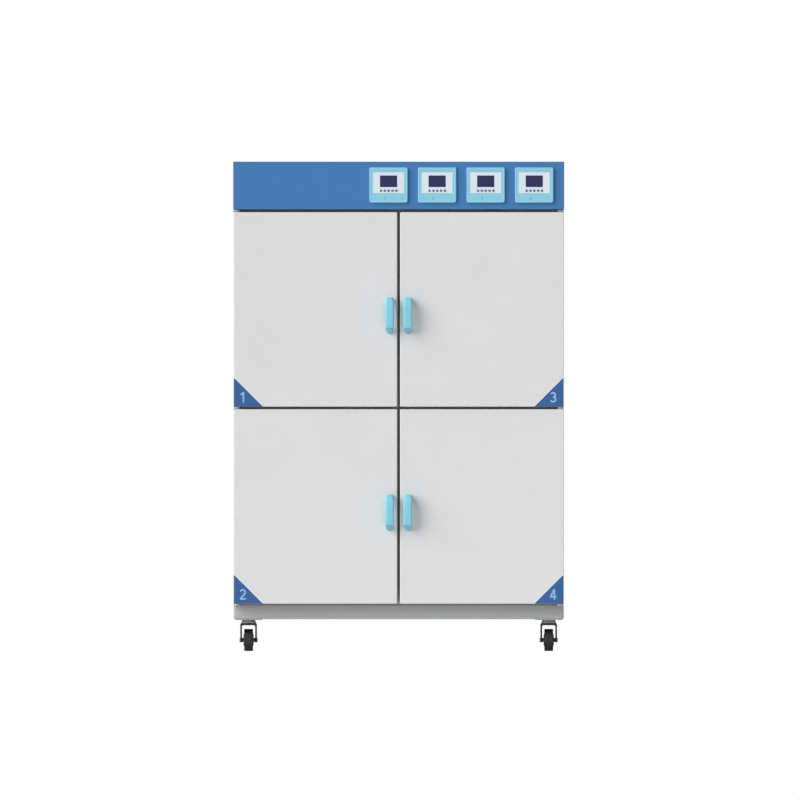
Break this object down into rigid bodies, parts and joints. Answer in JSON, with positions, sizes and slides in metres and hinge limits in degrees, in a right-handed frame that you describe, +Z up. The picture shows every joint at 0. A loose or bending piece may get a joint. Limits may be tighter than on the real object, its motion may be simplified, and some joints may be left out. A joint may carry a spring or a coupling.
{
  "type": "multi-chamber drying oven",
  "caption": "Floor-standing drying oven on casters, with separate heated chambers behind hinged doors and a controller for each chamber in the fascia above.",
  "frame": {"origin": "on the floor, at the middle of the whole oven's width and depth", "axes": "+Z up, the doors and controllers face -Y, +X to the right as seen from the front"},
  "size_m": [1.123, 0.77, 1.66],
  "materials": {
    "shell_paint": "satin",
    "door_paint": "satin",
    "fascia_paint": "satin",
    "base_paint": "satin",
    "stainless": "satin",
    "bright_wire": "polished",
    "handle_plastic": "satin",
    "bezel_plastic": "satin",
    "faceplate_film": "matte",
    "lcd_window": "gloss",
    "key_rubber": "matte",
    "caster_zinc": "satin",
    "fork_black": "satin",
    "wheel_rubber": "matte",
    "seal_silicone": "matte",
    "mineral_wool": "matte",
    "motor_alloy": "satin",
    "hinge_steel": "satin",
    "gland_nylon": "matte"
  },
  "bodies": {
    "cabinet": {"cabinet_shell": "shell_paint", "rear_panel": "shell_paint", "control_fascia": "fascia_paint", "base_frame": "base_paint", "chamber_liners": "stainless", "insulation": "mineral_wool", "door_gaskets": "seal_silicone", "wire_shelves": "bright_wire", "air_baffles": "stainless", "fan_heater_units": "motor_alloy", "door_hardware": "hinge_steel", "controller_bezels": "bezel_plastic", "controller_faceplates": "faceplate_film", "lcd_screens": "lcd_window", "cable_gland": "gland_nylon", "caster_plates": "caster_zinc"},
    "door_1": {"door_panel_1": "door_paint", "door_inner_plate_1": "stainless", "door_handle_1": "handle_plastic"},
    "door_2": {"door_panel_2": "door_paint", "door_inner_plate_2": "stainless", "door_handle_2": "handle_plastic"},
    "door_3": {"door_panel_3": "door_paint", "door_inner_plate_3": "stainless", "door_handle_3": "handle_plastic"},
    "door_4": {"door_panel_4": "door_paint", "door_inner_plate_4": "stainless", "door_handle_4": "handle_plastic"},
    "caster_1_swivel": {"caster_fork_1": "fork_black"},
    "caster_1_wheel": {"caster_wheel_1": "wheel_rubber"},
    "caster_2_swivel": {"caster_fork_2": "fork_black"},
    "caster_2_wheel": {"caster_wheel_2": "wheel_rubber"},
    "caster_3_swivel": {"caster_fork_3": "fork_black"},
    "caster_3_wheel": {"caster_wheel_3": "wheel_rubber"},
    "caster_4_swivel": {"caster_fork_4": "fork_black"},
    "caster_4_wheel": {"caster_wheel_4": "wheel_rubber"},
    "fan_1": {"fan_wheel_1": "motor_alloy"},
    "controller_1_key_1": {"controller_1_key_1": "key_rubber"},
    "controller_1_key_2": {"controller_1_key_2": "key_rubber"},
    "controller_1_key_3": {"controller_1_key_3": "key_rubber"},
    "controller_1_key_4": {"controller_1_key_4": "key_rubber"},
    "controller_1_key_5": {"controller_1_key_5": "key_rubber"},
    "fan_2": {"fan_wheel_2": "motor_alloy"},
    "controller_2_key_1": {"controller_2_key_1": "key_rubber"},
    "controller_2_key_2": {"controller_2_key_2": "key_rubber"},
    "controller_2_key_3": {"controller_2_key_3": "key_rubber"},
    "controller_2_key_4": {"controller_2_key_4": "key_rubber"},
    "controller_2_key_5": {"controller_2_key_5": "key_rubber"},
    "fan_3": {"fan_wheel_3": "motor_alloy"},
    "controller_3_key_1": {"controller_3_key_1": "key_rubber"},
    "controller_3_key_2": {"controller_3_key_2": "key_rubber"},
    "controller_3_key_3": {"controller_3_key_3": "key_rubber"},
    "controller_3_key_4": {"controller_3_key_4": "key_rubber"},
    "controller_3_key_5": {"controller_3_key_5": "key_rubber"},
    "fan_4": {"fan_wheel_4": "motor_alloy"},
    "controller_4_key_1": {"controller_4_key_1": "key_rubber"},
    "controller_4_key_2": {"controller_4_key_2": "key_rubber"},
    "controller_4_key_3": {"controller_4_key_3": "key_rubber"},
    "controller_4_key_4": {"controller_4_key_4": "key_rubber"},
    "controller_4_key_5": {"controller_4_key_5": "key_rubber"}
  },
  "joints": [
    {"name": "door_1_hinge", "type": "hinge", "parent": "cabinet", "child": "door_1", "pos_m": [-0.548, -0.318, 1.1585], "axis": [0, 0, -1], "range_deg": [0, 120]},
    {"name": "door_2_hinge", "type": "hinge", "parent": "cabinet", "child": "door_2", "pos_m": [-0.548, -0.318, 0.49], "axis": [0, 0, -1], "range_deg": [0, 120]},
    {"name": "door_3_hinge", "type": "hinge", "parent": "cabinet", "child": "door_3", "pos_m": [0.548, -0.318, 1.1585], "axis": [0, 0, 1], "range_deg": [0, 120]},
    {"name": "door_4_hinge", "type": "hinge", "parent": "cabinet", "child": "door_4", "pos_m": [0.548, -0.318, 0.49], "axis": [0, 0, 1], "range_deg": [0, 120]},
    {"name": "caster_1_swivel", "type": "hinge", "parent": "cabinet", "child": "caster_1_swivel", "pos_m": [-0.509, -0.229, 0.075], "axis": [0, 0, 1], "continuous": true},
    {"name": "caster_1_roll", "type": "hinge", "parent": "caster_1_swivel", "child": "caster_1_wheel", "pos_m": [-0.509, -0.204, 0.0375], "axis": [1, 0, 0], "continuous": true},
    {"name": "caster_2_swivel", "type": "hinge", "parent": "cabinet", "child": "caster_2_swivel", "pos_m": [0.509, -0.229, 0.075], "axis": [0, 0, 1], "continuous": true},
    {"name": "caster_2_roll", "type": "hinge", "parent": "caster_2_swivel", "child": "caster_2_wheel", "pos_m": [0.509, -0.204, 0.0375], "axis": [1, 0, 0], "continuous": true},
    {"name": "caster_3_swivel", "type": "hinge", "parent": "cabinet", "child": "caster_3_swivel", "pos_m": [-0.509, 0.309, 0.075], "axis": [0, 0, 1], "continuous": true},
    {"name": "caster_3_roll", "type": "hinge", "parent": "caster_3_swivel", "child": "caster_3_wheel", "pos_m": [-0.509, 0.334, 0.0375], "axis": [1, 0, 0], "continuous": true},
    {"name": "caster_4_swivel", "type": "hinge", "parent": "cabinet", "child": "caster_4_swivel", "pos_m": [0.509, 0.309, 0.075], "axis": [0, 0, 1], "continuous": true},
    {"name": "caster_4_roll", "type": "hinge", "parent": "caster_4_swivel", "child": "caster_4_wheel", "pos_m": [0.509, 0.334, 0.0375], "axis": [1, 0, 0], "continuous": true},
    {"name": "fan_1_spin", "type": "hinge", "parent": "cabinet", "child": "fan_1", "pos_m": [-0.28237, 0.17, 1.1585], "axis": [0, 1, 0], "continuous": true},
    {"name": "fan_2_spin", "type": "hinge", "parent": "cabinet", "child": "fan_2", "pos_m": [-0.28237, 0.17, 0.49], "axis": [0, 1, 0], "continuous": true},
    {"name": "fan_3_spin", "type": "hinge", "parent": "cabinet", "child": "fan_3", "pos_m": [0.28237, 0.17, 1.1585], "axis": [0, 1, 0], "continuous": true},
    {"name": "fan_4_spin", "type": "hinge", "parent": "cabinet", "child": "fan_4", "pos_m": [0.28237, 0.17, 0.49], "axis": [0, 1, 0], "continuous": true},
    {"name": "controller_1_key_1_press", "type": "slide", "parent": "cabinet", "child": "controller_1_key_1", "axis": [0, 1, 0], "range_m": [0, 0.0008], "stiffness_N_per_m": 500, "springref_m": -0.0005},
    {"name": "controller_1_key_2_press", "type": "slide", "parent": "cabinet", "child": "controller_1_key_2", "axis": [0, 1, 0], "range_m": [0, 0.0008], "stiffness_N_per_m": 500, "springref_m": -0.0005},
    {"name": "controller_1_key_3_press", "type": "slide", "parent": "cabinet", "child": "controller_1_key_3", "axis": [0, 1, 0], "range_m": [0, 0.0008], "stiffness_N_per_m": 500, "springref_m": -0.0005},
    {"name": "controller_1_key_4_press", "type": "slide", "parent": "cabinet", "child": "controller_1_key_4", "axis": [0, 1, 0], "range_m": [0, 0.0008], "stiffness_N_per_m": 500, "springref_m": -0.0005},
    {"name": "controller_1_key_5_press", "type": "slide", "parent": "cabinet", "child": "controller_1_key_5", "axis": [0, 1, 0], "range_m": [0, 0.0008], "stiffness_N_per_m": 500, "springref_m": -0.0005},
    {"name": "controller_2_key_1_press", "type": "slide", "parent": "cabinet", "child": "controller_2_key_1", "axis": [0, 1, 0], "range_m": [0, 0.0008], "stiffness_N_per_m": 500, "springref_m": -0.0005},
    {"name": "controller_2_key_2_press", "type": "slide", "parent": "cabinet", "child": "controller_2_key_2", "axis": [0, 1, 0], "range_m": [0, 0.0008], "stiffness_N_per_m": 500, "springref_m": -0.0005},
    {"name": "controller_2_key_3_press", "type": "slide", "parent": "cabinet", "child": "controller_2_key_3", "axis": [0, 1, 0], "range_m": [0, 0.0008], "stiffness_N_per_m": 500, "springref_m": -0.0005},
    {"name": "controller_2_key_4_press", "type": "slide", "parent": "cabinet", "child": "controller_2_key_4", "axis": [0, 1, 0], "range_m": [0, 0.0008], "stiffness_N_per_m": 500, "springref_m": -0.0005},
    {"name": "controller_2_key_5_press", "type": "slide", "parent": "cabinet", "child": "controller_2_key_5", "axis": [0, 1, 0], "range_m": [0, 0.0008], "stiffness_N_per_m": 500, "springref_m": -0.0005},
    {"name": "controller_3_key_1_press", "type": "slide", "parent": "cabinet", "child": "controller_3_key_1", "axis": [0, 1, 0], "range_m": [0, 0.0008], "stiffness_N_per_m": 500, "springref_m": -0.0005},
    {"name": "controller_3_key_2_press", "type": "slide", "parent": "cabinet", "child": "controller_3_key_2", "axis": [0, 1, 0], "range_m": [0, 0.0008], "stiffness_N_per_m": 500, "springref_m": -0.0005},
    {"name": "controller_3_key_3_press", "type": "slide", "parent": "cabinet", "child": "controller_3_key_3", "axis": [0, 1, 0], "range_m": [0, 0.0008], "stiffness_N_per_m": 500, "springref_m": -0.0005},
    {"name": "controller_3_key_4_press", "type": "slide", "parent": "cabinet", "child": "controller_3_key_4", "axis": [0, 1, 0], "range_m": [0, 0.0008], "stiffness_N_per_m": 500, "springref_m": -0.0005},
    {"name": "controller_3_key_5_press", "type": "slide", "parent": "cabinet", "child": "controller_3_key_5", "axis": [0, 1, 0], "range_m": [0, 0.0008], "stiffness_N_per_m": 500, "springref_m": -0.0005},
    {"name": "controller_4_key_1_press", "type": "slide", "parent": "cabinet", "child": "controller_4_key_1", "axis": [0, 1, 0], "range_m": [0, 0.0008], "stiffness_N_per_m": 500, "springref_m": -0.0005},
    {"name": "controller_4_key_2_press", "type": "slide", "parent": "cabinet", "child": "controller_4_key_2", "axis": [0, 1, 0], "range_m": [0, 0.0008], "stiffness_N_per_m": 500, "springref_m": -0.0005},
    {"name": "controller_4_key_3_press", "type": "slide", "parent": "cabinet", "child": "controller_4_key_3", "axis": [0, 1, 0], "range_m": [0, 0.0008], "stiffness_N_per_m": 500, "springref_m": -0.0005},
    {"name": "controller_4_key_4_press", "type": "slide", "parent": "cabinet", "child": "controller_4_key_4", "axis": [0, 1, 0], "range_m": [0, 0.0008], "stiffness_N_per_m": 500, "springref_m": -0.0005},
    {"name": "controller_4_key_5_press", "type": "slide", "parent": "cabinet", "child": "controller_4_key_5", "axis": [0, 1, 0], "range_m": [0, 0.0008], "stiffness_N_per_m": 500, "springref_m": -0.0005}
  ]
}
